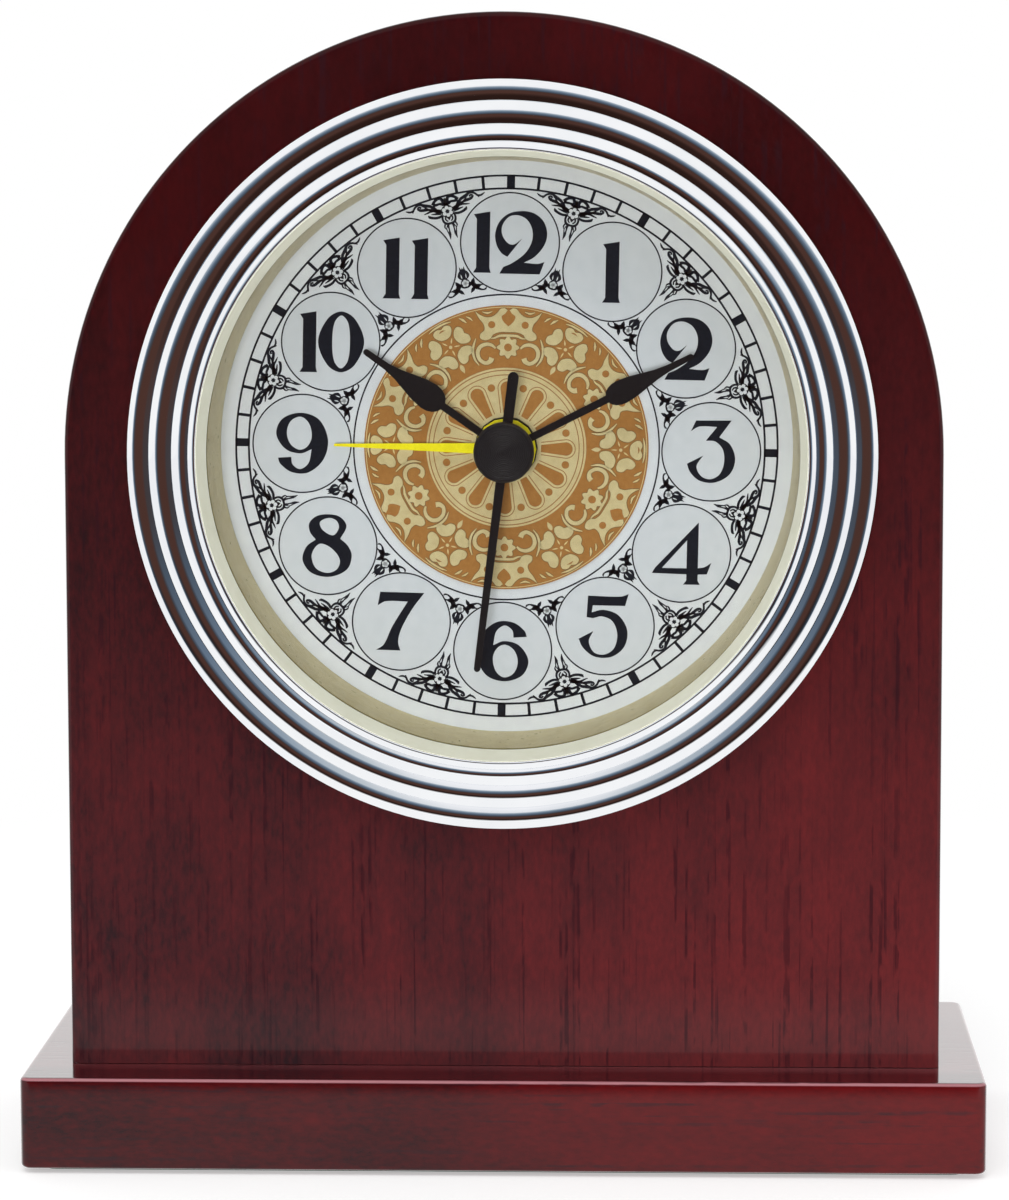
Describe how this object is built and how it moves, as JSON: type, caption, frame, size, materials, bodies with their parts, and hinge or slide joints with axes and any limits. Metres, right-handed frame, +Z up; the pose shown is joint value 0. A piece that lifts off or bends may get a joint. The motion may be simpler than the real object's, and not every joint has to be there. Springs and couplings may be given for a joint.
{
  "type": "table clock",
  "caption": "Arched wooden table clock on a flat base, with a stepped chrome bezel, a printed dial with a gold centre, spade hands, an alarm hand and a quartz gear movement.",
  "frame": {"origin": "middle of the felt's underside, where the clock stands", "axes": "+Z up, the dial faces -Y, +X to the right as seen from the front"},
  "size_m": [0.133, 0.057, 0.1592],
  "materials": {
    "mahogany": "glossy lacquer over dark red grain",
    "felt": "short pile",
    "steel": "plain",
    "chrome": "polished",
    "glass": "clear and polished",
    "cream_gold": "satin",
    "silver_white": "satin with black print",
    "gold": "circular brushed and printed",
    "black_paint": "satin black",
    "yellow_paint": "satin yellow",
    "black_plastic": "moulded",
    "white_plastic": "moulded",
    "brass": "plain",
    "copper": "enamelled wire",
    "board_green": "solder mask",
    "rubber": "matt",
    "cell_jacket": "plain wrapper"
  },
  "bodies": {
    "case": {"base_plinth": "mahogany", "arch_case": "mahogany", "base_felt": "felt", "base_screw_left": "steel", "base_screw_right": "steel", "cover_screw_1": "steel", "cover_screw_2": "steel", "cover_screw_3": "steel", "cover_screw_4": "steel", "stator_plate": "steel", "coil_core": "steel", "quartz_crystal": "steel", "battery_contact_positive": "steel", "battery_contact_negative": "steel", "bezel": "chrome", "lens": "glass", "rehaut_ring": "cream_gold", "dial_plate": "silver_white", "dial_centre_disc": "gold", "dial_nut": "black_paint", "insert_can": "black_plastic", "movement_cover": "black_plastic", "movement_frame": "white_plastic", "middle_plate": "white_plastic", "coil_bobbin": "white_plastic", "sounder_disc": "brass", "coil_winding": "copper", "circuit_board": "board_green", "fit_ring": "rubber", "battery": "cell_jacket"},
    "second": {"second_wheel": "white_plastic", "second_hand": "black_paint", "second_hand_cap": "black_paint"},
    "intermediate": {"intermediate_wheel": "white_plastic"},
    "rotor": {"rotor": "black_plastic"},
    "third": {"third_wheel": "white_plastic"},
    "centre": {"centre_wheel": "brass"},
    "minute": {"cannon_pinion": "brass", "minute_hand": "black_paint"},
    "motion": {"motion_wheel": "white_plastic"},
    "hour": {"hour_wheel": "white_plastic", "hour_hand": "black_paint"},
    "time_setting": {"time_setting_shaft": "white_plastic", "time_knob": "black_plastic"},
    "alarm": {"alarm_wheel": "white_plastic", "alarm_hand": "yellow_paint"},
    "alarm_setting": {"alarm_setting_shaft": "white_plastic", "alarm_knob": "black_plastic"},
    "alarm_switch": {"alarm_switch": "white_plastic"},
    "battery_door": {"battery_door": "black_plastic"}
  },
  "joints": [
    {"name": "second_turn", "type": "hinge", "parent": "case", "child": "second", "pos_m": [0, 0.0015, 0.0987], "axis": [0, 1, 0], "continuous": true},
    {"name": "intermediate_turn", "type": "hinge", "parent": "case", "child": "intermediate", "pos_m": [-0.00561, 0.0085, 0.10194], "axis": [0, 1, 0], "continuous": true},
    {"name": "rotor_turn", "type": "hinge", "parent": "case", "child": "rotor", "pos_m": [-0.00824, 0.0085, 0.10649], "axis": [0, 1, 0], "continuous": true},
    {"name": "third_turn", "type": "hinge", "parent": "case", "child": "third", "pos_m": [0.00434, 0.0075, 0.10621], "axis": [0, 1, 0], "continuous": true},
    {"name": "centre_turn", "type": "hinge", "parent": "case", "child": "centre", "pos_m": [0, 0.0056, 0.0987], "axis": [0, 1, 0], "continuous": true},
    {"name": "minute_turn", "type": "hinge", "parent": "case", "child": "minute", "pos_m": [0, -0.0005, 0.0987], "axis": [0, 1, 0], "continuous": true},
    {"name": "motion_turn", "type": "hinge", "parent": "case", "child": "motion", "pos_m": [-0.00752, 0.0025, 0.09596], "axis": [0, 1, 0], "continuous": true},
    {"name": "hour_turn", "type": "hinge", "parent": "case", "child": "hour", "pos_m": [0, -0.0015, 0.0987], "axis": [0, 1, 0], "continuous": true},
    {"name": "time_setting_turn", "type": "hinge", "parent": "case", "child": "time_setting", "pos_m": [-0.01589, 0.0095, 0.09449], "axis": [0, 1, 0], "continuous": true},
    {"name": "alarm_turn", "type": "hinge", "parent": "case", "child": "alarm", "pos_m": [0, -0.0025, 0.0987], "axis": [0, 1, 0], "continuous": true},
    {"name": "alarm_setting_turn", "type": "hinge", "parent": "case", "child": "alarm_setting", "pos_m": [0.00744, 0.0095, 0.09329], "axis": [0, 1, 0], "continuous": true},
    {"name": "alarm_switch_slide", "type": "slide", "parent": "case", "child": "alarm_switch", "axis": [0, 0, 1], "range_m": [0, 0.0036]},
    {"name": "battery_door_slide", "type": "slide", "parent": "case", "child": "battery_door", "axis": [0, 0, -1], "range_m": [0, 0.006]}
  ],
  "couplings": [
    {"joint": "intermediate_turn", "follows": "second_turn", "ratio": -5},
    {"joint": "rotor_turn", "follows": "second_turn", "ratio": 30},
    {"joint": "third_turn", "follows": "second_turn", "ratio": -0.13333},
    {"joint": "centre_turn", "follows": "second_turn", "ratio": 0.016667},
    {"joint": "motion_turn", "follows": "minute_turn", "ratio": -0.33333},
    {"joint": "hour_turn", "follows": "minute_turn", "ratio": 0.083333},
    {"joint": "time_setting_turn", "follows": "minute_turn", "ratio": 0.8},
    {"joint": "alarm_setting_turn", "follows": "alarm_turn", "ratio": -3}
  ]
}
